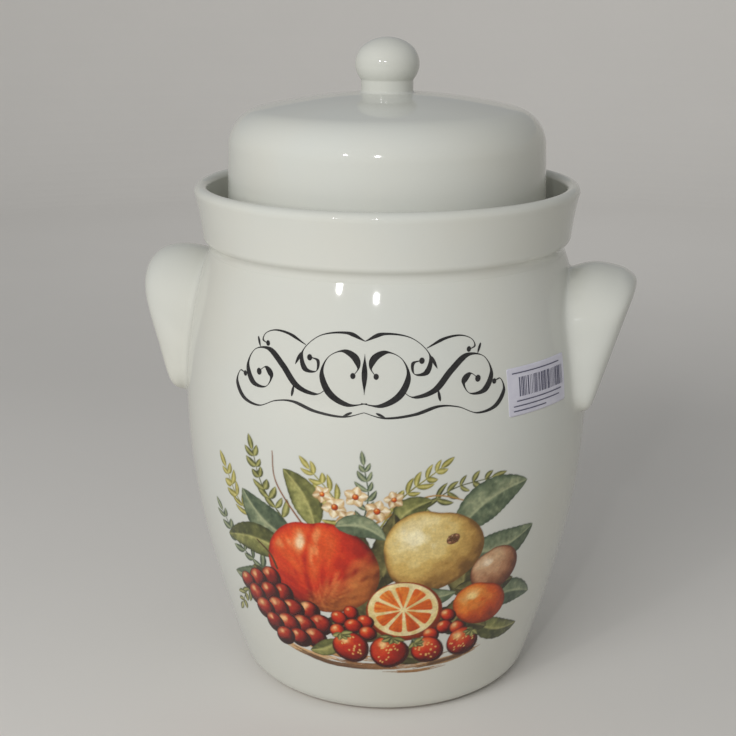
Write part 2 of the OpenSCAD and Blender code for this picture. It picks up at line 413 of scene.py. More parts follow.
def print_material():
    """Brushed colours with streaks and grain; where the paint ends, the bare glaze goes on."""
    material, tree, shader = node_material("print_paint")
    paint = add(tree, "Attribute", attribute_name="paint").outputs
    grain = ramp(tree, noise(tree, 700, 3.0, 0.6), (0.25, (0.80, 0.80, 0.80)), (0.75, (1.12, 1.12, 1.12)))
    wash = ramp(tree, noise(tree, 160), (0.3, (0.88, 0.86, 0.84)), (0.7, (1.06, 1.06, 1.06)))
    colour = mix(tree, 1.0, mix(tree, 1.0, paint["Color"], grain, "MULTIPLY"), wash, "MULTIPLY")
    bare = mix(tree, paint["Alpha"], glaze_colour(tree), (0, 0, 0))
    fill(tree, shader, Base_Color=mix(tree, 1.0, bare, colour, "ADD"))
    glaze_surface(tree, shader)
    return material


glaze = glaze_material()
crock_glaze = crock_material()
stoneware = stone_material()
paper = paper_material()
label_ink = ink_material()
scroll_ink = script_material()
print_paint = print_material()


# Pot

def make_crock():
    ring_r = corner(HEEL_C, HEEL_ARC_R, FOOT_EDGE_R, FOOT_EDGE_R) - FOOT_RING_W
    soft = 1 * MM
    outside = barrel_side(0, 0, FOOT_EDGE_R, JOINT_Z, 0, n=72)
    inside = barrel_side(-WALL_T, FLOOR_Z, FLOOR_EDGE_R, CEILING_Z, CEILING_EDGE_R, n=30)
    section = [(0, FOOT_HOLLOW), (ring_r - 2 * soft, FOOT_HOLLOW)]
    section += arc(ring_r - soft, FOOT_HOLLOW - soft, soft, 90, 0, 5)
    section += arc(ring_r + soft, soft, soft, 180, 270, 5)
    section += outside
    section += [(GUTTER_R + soft, JOINT_Z), (GUTTER_R, JOINT_Z + soft), (GUTTER_R, GUTTER_Z)]
    section += [(MOUTH_R, GUTTER_Z)]
    section += arc(MOUTH_R + soft, CEILING_Z + soft, soft, 180, 270, 5)
    section += inside[::-1]
    section += [(0, FLOOR_Z)]
    return lathe("crock", section, crock_glaze)


def make_neck():
    bead_r = NECK_T / 2
    foot_r = 3 * MM
    sink = 0.4 * MM
    section = [(MOUTH_R, GUTTER_Z - sink)]
    section += arc(MOUTH_R + bead_r, GUTTER_Z + NECK_H - bead_r, bead_r, 180, 0, 18)
    section += arc(NECK_R + foot_r, GUTTER_Z + foot_r, foot_r, 180, 265, 8)
    section += [(NECK_R + foot_r, GUTTER_Z - sink)]
    return lathe("neck", section, glaze, closed=True)


def make_collar():
    """Flared wall: its outside is hollowed a little, and glaze fills its inner corner."""
    lip_z = RIM_Z - LIP_R
    edge_z = JOINT_Z + COLLAR_EDGE_R
    foot_r = 2.5 * MM
    sink = 0.4 * MM
    hollow = 0.35 * MM
    # Glaze fills the corner under the collar: an arc that touches the barrel and the collar's rounding
    fill_r = 4.5 * MM
    edge_c = Vector((COLLAR_R - COLLAR_EDGE_R, edge_z))
    side_c = Vector(SHOULDER_C)
    fill_c = circles_meet(side_c, SHOULDER_ARC_R + fill_r, edge_c, COLLAR_EDGE_R + fill_r)
    fill_low = math.degrees(math.atan2(*(side_c - fill_c).yx))
    fill_high = math.degrees(math.atan2(*(edge_c - fill_c).yx))
    low_r, low_z = (side_c + (fill_c - side_c).normalized() * SHOULDER_ARC_R)
    section = [(GUTTER_R + MM, low_z), (low_r - 0.2 * MM, low_z - MM)]
    section += arc(fill_c.x, fill_c.y, fill_r, fill_low % 360, fill_high % 360, 8)
    section += arc(edge_c.x, edge_c.y, COLLAR_EDGE_R, fill_high % 360 - 180, 0, 8)[1:]
    for i in range(1, 16):
        t = i / 16
        bend = hollow * 4 * t * (1 - t)
        section.append((COLLAR_R + (RIM_R - COLLAR_R) * t - bend, edge_z + (lip_z - edge_z) * t))
    section += arc(RIM_R - LIP_R, lip_z, LIP_R, 0, 180, 18)
    section += arc(GUTTER_R - foot_r, GUTTER_Z + foot_r, foot_r, 0, -85, 8)
    section += [(GUTTER_R - foot_r, GUTTER_Z - sink), (GUTTER_R + MM, GUTTER_Z - sink)]
    return lathe("collar", section, glaze, closed=True)


def circles_meet(a, a_r, b, b_r):
    """The outer one of the two points where two circles of the section meet."""
    gap = b - a
    d = gap.length
    along = (d * d + a_r * a_r - b_r * b_r) / (2 * d)
    off = math.sqrt(a_r * a_r - along * along)
    return a + gap / d * along + Vector((gap.y, -gap.x)) / d * off


def lid_top(shrink):
    """The lid's side, edge and dome, from the side's top to the axis."""
    edge_r = LID_EDGE_R - shrink
    dome_r = LID_DOME_R - shrink
    edge_x = LID_R - LID_EDGE_R
    turn = math.degrees(math.acos(edge_x / (LID_DOME_R - LID_EDGE_R)))
    points = arc(edge_x, LID_TURN_Z, edge_r, 0, turn, 24)
    points += arc(0, LID_DOME_Z, dome_r, turn, 90, 40)[1:]
    points[-1] = (0, LID_DOME_Z + dome_r)
    return points


def make_lid():
    foot = LID_FOOT_EDGE_R
    draft = 1.4 * MM
    section = lid_top(LID_T)[::-1]
    section += arc(LID_R + draft - LID_T + foot, GUTTER_Z + foot, foot, 180, 270, 6)
    # The side widens a little towards its foot
    section += arc(LID_R + draft - foot, GUTTER_Z + foot, foot, 270, 360, 6)
    section += lid_top(0)
    return lathe("lid", section, glaze)


def make_knob():
    """Ball on a short stem, with glaze in the two corners."""
    side_x = KNOB_R - KNOB_SIDE_R
    cap_r = (side_x ** 2 + KNOB_HALF_H ** 2 - KNOB_SIDE_R ** 2) / (2 * (KNOB_HALF_H - KNOB_SIDE_R))
    turn = math.degrees(math.acos(side_x / (cap_r - KNOB_SIDE_R)))
    waist_r = 1.6 * MM
    foot_r = 1.4 * MM
    # The waist's rounding touches the stem and the ball's side arc from outside
    waist_x = STEM_R + waist_r
    waist_z = KNOB_Z - math.sqrt((KNOB_SIDE_R + waist_r) ** 2 - (waist_x - side_x) ** 2)
    meet = math.degrees(math.atan2(KNOB_Z - waist_z, side_x - waist_x))
    foot_x = STEM_R + foot_r
    foot_z = LID_DOME_Z + math.sqrt((LID_DOME_R + foot_r) ** 2 - foot_x ** 2)
    lean = math.degrees(math.asin(foot_x / (LID_DOME_R + foot_r)))
    section = [(0, LID_TOP_Z - MM), (foot_x, LID_TOP_Z - MM)]
    section += arc(foot_x, foot_z, foot_r, 270 - lean, 180, 8)
    section += arc(waist_x, waist_z, waist_r, 180, meet, 6)
    section += arc(side_x, KNOB_Z, KNOB_SIDE_R, meet - 180, turn, 28)
    section += arc(0, KNOB_Z + KNOB_HALF_H - cap_r, cap_r, turn, 90, 14)[1:]
    section[-1] = (0, KNOB_Z + KNOB_HALF_H)
    return lathe("knob", section, glaze, turns=192)


def lug_hull(edge_r):
    """The handle's hull as a search tree: the part's, but finer and its top edge rounded by edge_r."""
    n_turn = 96
    n_edge = 24
    top_z = LUG_TOP_Z - edge_r - (LUG_TOP_W / 2 - edge_r) * math.cos(LUG_LEAN)
    mid_z = top_z - LUG_W / 4 * math.cos(LUG_LEAN)
    low_z = LUG_LOW_Z + LUG_LOW_EDGE_R + (LUG_CORNER_R - LUG_LOW_EDGE_R) * math.cos(LUG_LEAN)
    low_y = LUG_W / 2 - LUG_CORNER_R
    discs = [(top_z, LUG_TOP_W / 2, edge_r, 0), (mid_z, LUG_W / 2, edge_r, 0),
             (low_z, LUG_CORNER_R, LUG_LOW_EDGE_R, low_y), (low_z, LUG_CORNER_R, LUG_LOW_EDGE_R, -low_y)]
    bm = bmesh.new()
    turns = [2 * math.pi * i / n_turn for i in range(n_turn)]
    tip = Matrix.Rotation(math.radians(90) + LUG_LEAN, 4, "Y")
    for z, r, q, y in discs:
        face_x = BELLY_R + LUG_LOW_OUT + (z - LUG_LOW_Z) * math.tan(LUG_LEAN)
        place = Matrix.Translation((face_x - q / math.cos(LUG_LEAN), y, z)) @ tip
        for a in turns:
            for j in range(n_edge + 1):
                b = math.pi * (j / n_edge - 0.5)
                out = r - q + q * math.cos(b)
                bm.verts.new(place @ Vector((out * math.cos(a), out * math.sin(a), q * math.sin(b))))
    root_r = (LUG_W + LUG_DRAFT) / 2
    root_z = mid_z + LUG_ROOT_RISE
    for a in turns:
        bm.verts.new((BELLY_R / 2, root_r * math.cos(a), root_z + (root_r - 4 * MM) * math.sin(a)))
    hull = bmesh.ops.convex_hull(bm, input=bm.verts)
    inner = [g for g in hull["geom_interior"] if isinstance(g, bmesh.types.BMVert)]
    bmesh.ops.delete(bm, geom=inner, context="VERTS")
    bmesh.ops.recalc_face_normals(bm, faces=bm.faces)
    tree = BVHTree.FromBMesh(bm)
    bm.free()
    return tree


def lug_shape(node, edge_r, crest_drop, crisp_top):
    """The handle's surface, found by rays from a point inside and softened as hand-finished clay is."""
    tree = lug_hull(edge_r)
    centre = Vector((BELLY_R - 32 * MM, 0, 190 * MM))
    n_round = 192
    n_out = 96
    reach = math.radians(72)
    fillet = 6 * MM
    sink = 0.01 * MM
    crest_x = 107.5 * MM
    crest_half = 15 * MM
    turns = np.arange(n_round) * 2 * math.pi / n_round
    leans = np.arange(n_out + 1) * reach / n_out
    # More rings between the two leans where the handle meets the wall
    wall_from, wall_to = 0.68, 1.12
    fine = np.concatenate([np.linspace(0, wall_from, 50)[:-1], np.linspace(wall_from, wall_to, 110)[:-1],
                           np.linspace(wall_to, reach, 10)])

    def rays(leans):
        """Directions round +X, ring by ring, each ring leaning further from it."""
        cos, sin = np.cos(leans)[:, None], np.sin(leans)[:, None]
        return np.stack([np.repeat(cos, n_round, 1), sin * np.sin(turns), sin * np.cos(turns)], -1)

    def hull_at(way):
        """How far the hull is, once its top is bowed down to both sides of a crest."""
        way = Vector(way)
        t = tree.ray_cast(centre, way)[3]
        for _ in range(4):
            point = way * t
            height = min(max((point.z - 5 * MM) / (25 * MM), 0), 1)
            drop = crest_drop * min(((centre.x + point.x - crest_x) / crest_half) ** 2, 1.6)
            raised = point + Vector((0, 0, drop * height * height * (3 - 2 * height)))
            t *= tree.ray_cast(centre, raised.normalized())[3] / raised.length
        return t
    hull = np.array([[hull_at(way) for way in ring] for ring in rays(leans)])

    def soften(soft):
        """The hull softened round each ring, then from ring to ring across the pole."""
        waves = np.arange(n_round // 2 + 1)
        fade = np.exp(-0.5 * (waves * soft / np.sin(leans[1:, None])) ** 2)
        rings = np.vstack([hull[:1], np.fft.irfft(np.fft.rfft(hull[1:]) * fade, n_round)])
        beyond = np.roll(rings[:0:-1], n_round // 2, axis=1)
        whole = np.concatenate([beyond, rings, np.repeat(rings[-1:], n_out, 0)])
        at = np.concatenate([-leans[:0:-1], leans, leans[1:] + reach])
        near = np.exp(-0.5 * ((fine[:, None] - at[None]) / soft) ** 2)
        return np.einsum("ij,jk->ik", near / near.sum(1, keepdims=True), whole)
    ways = rays(fine)
    # Crisper at the low end, and at the top as asked
    high = np.clip((ways[..., 2] - 0.15) / 0.4, 0, 1) * crisp_top
    low = np.clip((-ways[..., 2] - 0.25) / 0.35, 0, 1)
    crisp = np.maximum(high, low)
    hull = soften(0.09) * (1 - crisp) + soften(0.035) * crisp
    # Stretched outward, so that the tip reaches as far as the part's
    widest = max(abs(corner[0]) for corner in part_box(node)) - centre.x
    for _ in range(8):
        hull *= 1 + (widest / (hull * ways[..., 0]).max() - 1) * ways[..., 0] ** 2

    # Where each ray leaves the barrel's wall
    table_z = np.linspace(0, JOINT_Z, 3000)
    table_r = np.array([barrel_r(z) for z in table_z])
    near, far = np.zeros(hull.shape), np.full(hull.shape, 120 * MM)
    for _ in range(24):
        wall = (near + far) / 2
        point = np.array(centre) + ways * wall[..., None]
        inside = np.hypot(point[..., 0], point[..., 1]) < np.interp(point[..., 2], table_z, table_r)
        near = np.where(inside, wall, near)
        far = np.where(inside, far, wall)
    share = np.maximum(fillet - np.abs(hull - wall), 0) / fillet
    out = np.maximum(hull, wall) + share ** 3 * fillet / 6
    out -= sink * np.where(hull < wall, (1 - share) ** 2, 0)
    return np.array(centre) + ways * out[..., None]


def make_lug(name, side, shape):
    """The shape as a mesh, on the side of the pot that side's sign says."""
    n_out, n_round = len(shape) - 1, shape.shape[1]
    points = [shape[0, 0], *shape[1:].reshape(-1, 3)]
    faces = fan(n_round) + quads(n_out, n_round, 1, rings=True)
    if side > 0:
        faces = [face[::-1] for face in faces]
    return new_mesh(name, [(x * side, y, z) for x, y, z in points], faces, glaze)


def make_stone(name, side):
    """Half-moon stone with a finger notch, its edges rounded all round."""
    # Easing fills the notch a little, so it starts larger
    notch_r = STONE_HOLE_R + 1.2 * MM
    outline = []
    for r, way, count in ((STONE_R, 1, 200), (notch_r, -1, 40)):
        end = way * math.acos(STONE_GAP / 2 / r)
        outline += [(r * math.cos(t), r * math.sin(t)) for t in np.linspace(-end, end, count)]
    eased = np.array(spread(outline + outline[:1], MM)[:-1])
    # Ease the corners, then find which way is out at each point
    for _ in range(STONE_EASING):
        eased = (np.roll(eased, 1, 0) + 2 * eased + np.roll(eased, -1, 0)) / 4
    ahead = np.roll(eased, -1, 0) - np.roll(eased, 1, 0)
    out = np.stack([ahead[:, 1], -ahead[:, 0]], -1) / np.linalg.norm(ahead, axis=1, keepdims=True)
    q = STONE_EDGE_R
    section = arc(0, q, q, -90, 0, 6) + arc(0, STONE_T - q, q, 0, 90, 6)
    points = []
    for reach, z in section:
        points += [(x * side, y, FLOOR_Z + z) for x, y in eased + out * (reach - q)]
    n = len(eased)
    faces = quads(len(section), n, rings=True)
    faces += [tuple(range(n)), tuple(range(len(points) - n, len(points)))]
    return turned_outward(new_mesh(name, points, faces, stoneware))


# Print on the front. Sizes in this part are in millimetres, across the wall and up from the
# print's own origin.

PRINT_TURN = math.radians(4.8)
PICTURE_Z = 32
SCROLL_Z = 187
PRINT_LIFT = 0.05
PRINT_STEP = 0.4
STROKE_LIFT = 0.005


def rgb(red, green, blue):
    """A colour as seen on screen, from 0 to 255, turned into the linear one that shaders use."""
    return tuple(((c / 255 + 0.055) / 1.055) ** 2.4 for c in (red, green, blue))


def value_noise(x, y, cell, seed):
    """Smooth noise from 0 to 1 over the plane, in patches as wide as a cell."""
    grid = np.random.RandomState(seed).rand(64, 64)
    at = np.stack([np.asarray(x) / cell + 31.3, np.asarray(y) / cell + 17.7])
    low = np.floor(at)
    fx, fy = (at - low) ** 2 * (3 - 2 * (at - low))
    (i, j), (k, m) = low.astype(int) % 64, (low.astype(int) + 1) % 64
    below = grid[i, j] * (1 - fx) + grid[k, j] * fx
    above = grid[i, m] * (1 - fx) + grid[k, m] * fx
    return below * (1 - fy) + above * fy


def tones(value, stops):
    """Colours along stops of (place, colour)."""
    places, colours = zip(*stops)
    return np.stack([np.interp(value, places, channel) for channel in zip(*colours)], -1)


def brushed(value, steps=6):
    """Pulls smooth shading together into patches, as a loaded brush leaves it."""
    softness = 0.55
    scaled = value * steps
    return (scaled * softness + np.floor(scaled + 0.5) * (1 - softness)) / steps


def polar(reach, way):
    return np.array([reach * math.cos(way), reach * math.sin(way)])


def turned(x, y, turn):
    """A point, or arrays of points, turned about the origin."""
    c, s = math.cos(turn), math.sin(turn)
    return x * c - y * s, x * s + y * c


class Films:
    """Flat shapes that are painted one over another, and then laid on the wall."""

    def __init__(self, base_z, turn=PRINT_TURN, lift=PRINT_LIFT):
        self.base_z = base_z
        self.turn = turn
        self.lift = lift
        self.films = []

    def add(self, flat, faces, paint, u, v):
        """Adds a shape. Its paint is a colour, or works out colours from (u, v) and (x, y)."""
        if callable(paint):
            paint = paint(u, v, flat[:, 0], flat[:, 1])
        self.films.append((flat, faces, np.clip(np.broadcast_to(paint, (len(flat), 3)), 0, 1)))

    def on_wall(self, flat, lift):
        """Places flat points on the wall, lifted off it by a distance of their own."""
        points = []
        for x, y in flat:
            z = (self.base_z + y) * MM
            points.append(wall_point(x * MM + self.turn * barrel_r(z), z, lift * MM))
        return points

    def strokes(self, name, material):
        """Each shape as a film of its own, a hair above the one before."""
        points, faces = [], []
        for k, (flat, film_faces, _) in enumerate(self.films):
            start = len(points)
            points += self.on_wall(flat, self.lift + STROKE_LIFT * k)
            faces += [tuple(start + v for v in face) for face in film_faces]
        return new_mesh(name, points, faces, material)

    def sheet(self, name, material):
        """One even sheet that holds what shows of all shapes as the colour of its points."""
        part = PRINT_STEP / 3
        every = np.concatenate([flat for flat, _, _ in self.films])
        low = every.min(0) - 2 * PRINT_STEP
        nx, ny = np.ceil((every.max(0) - low) / PRINT_STEP).astype(int) + 2
        canvas = np.zeros((nx * 3, ny * 3, 4))
        for flat, faces, paint in self.films:
            corners = np.array([(face + face[-1:])[:4] for face in faces])
            spots = flat[corners]
            longest = np.linalg.norm(spots - np.roll(spots, 1, axis=1), axis=2).max()
            t = np.linspace(0, 1, int(longest / (0.6 * part)) + 2)
            u, v = np.meshgrid(t, t)
            weights = np.stack([(1 - u) * (1 - v), u * (1 - v), u * v, (1 - u) * v], -1).reshape(-1, 4)
            x, y = ((np.einsum("sk,fkx->fsx", weights, spots) - low) / part).astype(int).reshape(-1, 2).T
            canvas[x, y, :3] = np.einsum("sk,fkc->fsc", weights, paint[corners]).reshape(-1, 3)
            canvas[x, y, 3] = 1
        canvas = canvas.reshape(nx, 3, ny, 3, 4).mean((1, 3))
        painted = canvas[..., 3] > 0
        i, j = np.nonzero(painted[:-1, :-1] | painted[1:, :-1] | painted[:-1, 1:] | painted[1:, 1:])
        cells = np.stack([(i + di) * ny + j + dj for di, dj in ((0, 0), (1, 0), (1, 1), (0, 1))], -1)
        used, faces = np.unique(cells, return_inverse=True)
        place = np.stack(divmod(used, ny), -1)
        points = self.on_wall(low + (place + 0.5) * PRINT_STEP, self.lift)
        obj = new_mesh(name, points, faces.reshape(-1, 4).tolist(), material)
        layer = obj.data.color_attributes.new("paint", "FLOAT_COLOR", "POINT")
        layer.data.foreach_set("color", canvas.reshape(-1, 4)[used].astype(np.float32).ravel())
        return obj

    def blob(self, x, y, rx, ry, turn, paint=0, outline=np.ones_like, rings=None, spokes=None):
        """A rounded shape: outline gives its reach by angle, paint colours points of the unit disc."""
        big = max(rx, ry)
        rings = rings or max(4, int(big / 1.1))
        spokes = spokes or max(20, int(big * 4))
        angles = np.arange(spokes) * 2 * math.pi / spokes
        u = np.append(0.0, np.repeat((np.arange(rings) + 1) / rings, spokes))
        a = np.append(0.0, np.tile(angles, rings))
        far = np.append(1.0, np.tile(outline(angles), rings))
        dx, dy = u * np.cos(a), u * np.sin(a)
        px, py = dx * far * rx, dy * far * ry
        flat = np.stack(turned(px, py, turn), -1) + (x, y)
        self.add(flat, fan(spokes) + quads(rings, spokes, 1, rings=True), paint, *turned(dx, dy, turn))

    def strip(self, path, half, paint=0, across=2):
        """A ribbon along a path of points. Its half width is one number, or one for each point."""
        path = np.asarray(path, float)
        n = len(path)
        ahead = np.gradient(path, axis=0)
        ahead /= np.maximum(np.linalg.norm(ahead, axis=1, keepdims=True), 1e-9)
        side = np.stack([-ahead[:, 1], ahead[:, 0]], -1)
        sides = np.linspace(-1, 1, across + 1)
        reach = np.broadcast_to(half, n)[:, None] * sides
        flat = (path[:, None] + side[:, None] * reach[..., None]).reshape(-1, 2)
        along = np.repeat(np.linspace(0, 1, n), across + 1)
        self.add(flat, quads(n, across + 1), paint, along, np.tile(sides, n))


def smooth_path(points, step=0.6):
    """A curve through the given points, with evenly spaced points of its own."""
    p = np.asarray(points, float)
    p = np.vstack([2 * p[0] - p[1], p, 2 * p[-1] - p[-2]])
    out = []
    for i in range(1, len(p) - 2):
        a, b, c, d = p[i - 1], p[i], p[i + 1], p[i + 2]
        n = max(2, int(np.linalg.norm(c - b) / step))
        t = np.arange(n)[:, None] / n
        out.append(0.5 * (2 * b + (c - a) * t + (2 * a - 5 * b + 4 * c - d) * t * t
                          + (3 * b - a - 3 * c + d) * t ** 3))
    out.append(p[-2:-1])
    return np.concatenate(out)


def palette(*stops):
    """Stops of (place, red, green, blue) as stops of (place, colour)."""
    return [(place, rgb(*colour)) for place, *colour in stops]


RED = palette((0, 96, 14, 8), (0.25, 160, 26, 12), (0.5, 206, 48, 18), (0.72, 224, 84, 30),
              (0.88, 236, 140, 80), (1, 250, 214, 170))
ORANGE = palette((0, 120, 40, 8), (0.3, 186, 66, 12), (0.55, 220, 98, 22), (0.78, 238, 146, 52),
                 (1, 252, 214, 140))
YELLOW = palette((0, 120, 84, 40), (0.25, 176, 134, 66), (0.5, 212, 178, 100), (0.75, 230, 208, 140),
                 (1, 246, 234, 190))
TAN = palette((0, 96, 50, 34), (0.3, 148, 92, 60), (0.55, 190, 138, 100), (0.8, 216, 176, 134),
              (1, 240, 216, 184))
WINE = palette((0, 36, 6, 8), (0.3, 84, 12, 12), (0.55, 142, 24, 16), (0.78, 190, 52, 24),
               (1, 244, 190, 130))
SCARLET = palette((0, 74, 10, 6), (0.3, 150, 24, 10), (0.6, 200, 44, 16), (0.8, 222, 90, 34),
                  (1, 250, 206, 140))
OLIVE = palette((0, 40, 44, 26), (0.35, 84, 88, 48), (0.65, 128, 130, 72), (1, 184, 180, 112))
GREY_GREEN = palette((0, 36, 46, 36), (0.35, 74, 90, 68), (0.65, 112, 126, 96), (1, 170, 176, 138))
DEEP = palette((0, 30, 26, 16), (0.35, 58, 54, 32), (0.65, 92, 88, 50), (1, 140, 132, 80))
LIME = palette((0, 84, 84, 36), (0.4, 140, 136, 62), (0.7, 182, 172, 88), (1, 216, 206, 132))
PETAL = palette((0, 150, 110, 70), (0.35, 206, 168, 116), (0.7, 234, 214, 168), (1, 250, 240, 214))
CROWN = palette((0, 38, 24, 16), (0.6, 92, 56, 32), (1, 150, 104, 62))

# Where the painted light comes from
LIGHT = (-0.42, 0.50, 0.76)


def ball(dx, dy):
    """Light on a ball at points of the unit disc, and its rim, from 0 inside to 1 at the edge."""
    r2 = np.clip(dx * dx + dy * dy, 0, 1)
    lit = dx * LIGHT[0] + dy * LIGHT[1] + np.sqrt(1 - r2) * LIGHT[2]
    return np.clip(lit, 0, 1), np.clip((r2 - 0.80) / 0.20, 0, 1)


def round_paint(colours, seed, patch, edge):
    """Shading of a ball, in brushed patches, with a darker rim and a glint."""
    def paint(dx, dy, x, y):
        lit, rim = ball(dx, dy)
        value = 0.12 + 0.72 * lit ** 1.1
        value += patch * (value_noise(x, y, 5, seed) - 0.5)
        value += patch * 0.6 * (value_noise(x, y, 2.1, seed + 1) - 0.5)
        value -= edge * rim * (0.5 + value_noise(x, y, 6, seed + 2))
        glint = np.exp(-((dx - LIGHT[0] * 0.75) ** 2 + (dy - LIGHT[1] * 0.75) ** 2) / 0.018)
        return tones(brushed(value) + 0.5 * glint, colours)
    return paint


def leaf(films, base, tip, width, colours, seed, bend=0.0, teeth=0.0, vein=0.14):
    """A leaf from base to tip, bent sideways, with a light midrib, side veins and toothed edges."""
    base = np.asarray(base, float)
    ahead = tip - base
    length = np.linalg.norm(ahead)
    side = np.array([-ahead[1], ahead[0]]) / length
    t = np.linspace(0, 1, max(8, int(length / 1.1)) + 1)
    path = base + ahead * t[:, None] + side * (bend * length * np.sin(math.pi * t))[:, None]
    half = width / 2 * np.sin(math.pi * t ** 0.85) ** 0.75
    half = half * (1 + teeth * np.abs(np.sin(t * length * 0.9 + seed))) + 0.05
    shade = random.Random(seed).uniform(-0.1, 0.1)

    def paint(u, s, x, y):
        lit = 0.52 + shade + 0.16 * np.sign(s + 1e-6) * (1 - np.abs(s)) ** 0.4
        lit += 0.30 * (value_noise(x, y, 3.4, seed) - 0.5) + 0.22 * (value_noise(x, y, 1.4, seed + 1) - 0.5)
        ribs = np.abs(((u * length / 4.2 - np.abs(s) * 0.9) % 1) - 0.5)
        lit += vein * np.clip((ribs - 0.36) / 0.14, 0, 1) * (np.abs(s) > 0.06)
        lit += 0.30 * np.exp(-(s / 0.10) ** 2)
        lit -= 0.28 * np.clip((np.abs(s) - 0.75) / 0.25, 0, 1)
        return tones(brushed(lit, 7), colours)

    films.strip(path, half, paint, max(4, int(width) // 2 * 2))


def stem(films, points, width, colour):
    path = smooth_path(points)
    taper = np.linspace(1, 0.5, len(path)) * (0.85 + 0.3 * value_noise(path[:, 0], path[:, 1], 3, 5))

    def paint(u, s, x, y):
        light = 0.75 + 0.5 * value_noise(x, y, 1.6, 9) + 0.15 * s
        return np.outer(light, colour)
    films.strip(path, taper * width / 2, paint)


def sprig(films, points, colours, seed, leaf_l, leaf_w, pairs):
    """A stem with narrow leaves in loose pairs."""
    dice = random.Random(seed)
    path = smooth_path(points)
    stem(films, points, 0.8, colours[1][1])
    ahead = path[-1] - path[int(0.6 * len(path))]
    way = math.atan2(ahead[1], ahead[0])
    for k in range(pairs):
        at = path[int((0.12 + 0.88 * (k + 0.5) / pairs) * (len(path) - 1))]
        for side in (-1, 1):
            turn = way + side * dice.uniform(0.4, 0.9)
            size = leaf_l * dice.uniform(0.65, 1.1) * (1 - 0.35 * k / pairs)
            wide = leaf_w * dice.uniform(0.7, 1.2)
            leaf(films, at, at + polar(size, turn), wide, colours, dice.randrange(900), side * 0.08, vein=0)
    ahead = path[-1] - path[-4]
    tip = path[-1] + ahead / np.linalg.norm(ahead) * leaf_l * 0.8
    leaf(films, path[-1], tip, leaf_w, colours, dice.randrange(900), vein=0)


def cluster(films, spots, colours, seed):
    """Round berries, each over a dark edge of its own, the higher ones laid first."""
    dice = random.Random(seed)
    for x, y, r in sorted(spots, key=lambda spot: -spot[1]):
        squash = dice.uniform(0.86, 1.0)
        turn = dice.uniform(0, 3)
        films.blob(x + 0.5, y - 0.6, r * 1.12, r * 1.1 * squash, turn, rgb(46, 14, 10), rings=4)
        films.blob(x, y, r, r * squash, turn, round_paint(colours, dice.randrange(900), 0.30, 0.35))


def strawberry(films, x, y, size, turn, seed):
    """A heart-shaped berry with seeds and a small green crown."""
    dice = random.Random(seed)
    wide, high = size * 0.84, size * 1.04

    def outline(a):
        up = np.sin(a)
        heart = 1 - 0.16 * np.clip(up, 0, 1) ** 3 + 0.06 * np.cos(2 * a)
        return heart - 0.10 * np.clip(-up, 0, 1) * np.cos(a) ** 2
    films.blob(x + 0.5, y - 0.7, size * 0.92, size * 1.12, turn, rgb(60, 16, 10), outline, rings=4)
    films.blob(x, y, wide, high, turn, round_paint(SCARLET, seed, 0.24, 0.35), outline)
    for _ in range(22):
        dx, dy = dice.uniform(-0.62, 0.62), dice.uniform(-0.78, 0.62)
        if dx * dx + dy * dy * 0.8 <= 0.48:
            place = turned(dx * wide, dy * high, turn) + np.array([x, y])
            films.blob(*place, 0.34, 0.55, turn, rgb(236, 190, 110), rings=1, spokes=8)
    crown = turned(0, size * 0.86, turn) + np.array([x, y])
    for i in range(5):
        way = turn + math.pi / 2 + (i - 2) * 0.72 + math.pi
        tip = crown + polar(size * dice.uniform(0.5, 0.72), way) * (1, 0.7)
        leaf(films, crown, tip, size * 0.3, OLIVE, dice.randrange(900), vein=0)


def blossom(films, x, y, size, seed):
    dice = random.Random(seed)
    start = dice.uniform(0, 6)
    for i in range(5):
        way = start + i * 2 * math.pi / 5
        tip = (x, y) + polar(size, way) * (1, 0.9)
        leaf(films, (x, y), tip, size * 0.8, PETAL, dice.randrange(900), vein=0)
    films.blob(x, y, size * 0.26, size * 0.26, 0, round_paint(ORANGE, seed, 0.3, 0.2), rings=2, spokes=12)


def peach(films, x, y, r):
    """A red-cheeked fruit with a cleft that runs down from a dimple."""
    def outline(a):
        return 1 + 0.035 * np.cos(2 * a + 0.4) - 0.07 * np.exp(-((a - 1.75) / 0.22) ** 2)

    def paint(dx, dy, px, py):
        lit, rim = ball(dx, dy)
        streak = value_noise(np.arctan2(dy + 0.9, dx) * 16, np.hypot(dx, dy + 0.9) * 5, 1.0, 4)
        cleft = dx - (-0.10 - 0.30 * (1 - dy) * (dy + 1) * 0.6)
        value = 0.10 + 0.66 * lit + 0.20 * (streak - 0.5) + 0.16 * (value_noise(px, py, 6, 3) - 0.5)
        value -= 0.22 * np.exp(-(cleft / 0.05) ** 2) * (dy > -0.75)
        value += 0.10 * np.exp(-((cleft - 0.12) / 0.09) ** 2)
        value -= 0.22 * rim
        glint = np.exp(-((dx + 0.36) ** 2 / 0.016 + (dy - 0.44) ** 2 / 0.03))
        red = tones(brushed(value, 7) + 0.35 * glint, RED)
        gold = tones(value + 0.16, ORANGE) * 0.55 + tones(value + 0.10, YELLOW) * 0.45
        cheek = np.clip((dx * 0.75 - dy * 0.8 - 0.28) * 1.5 + 0.5 * (streak - 0.5), 0, 0.85)
        return red * (1 - cheek[:, None]) + gold * cheek[:, None]
    films.blob(x, y, r, r * 0.95, 0, paint, outline)


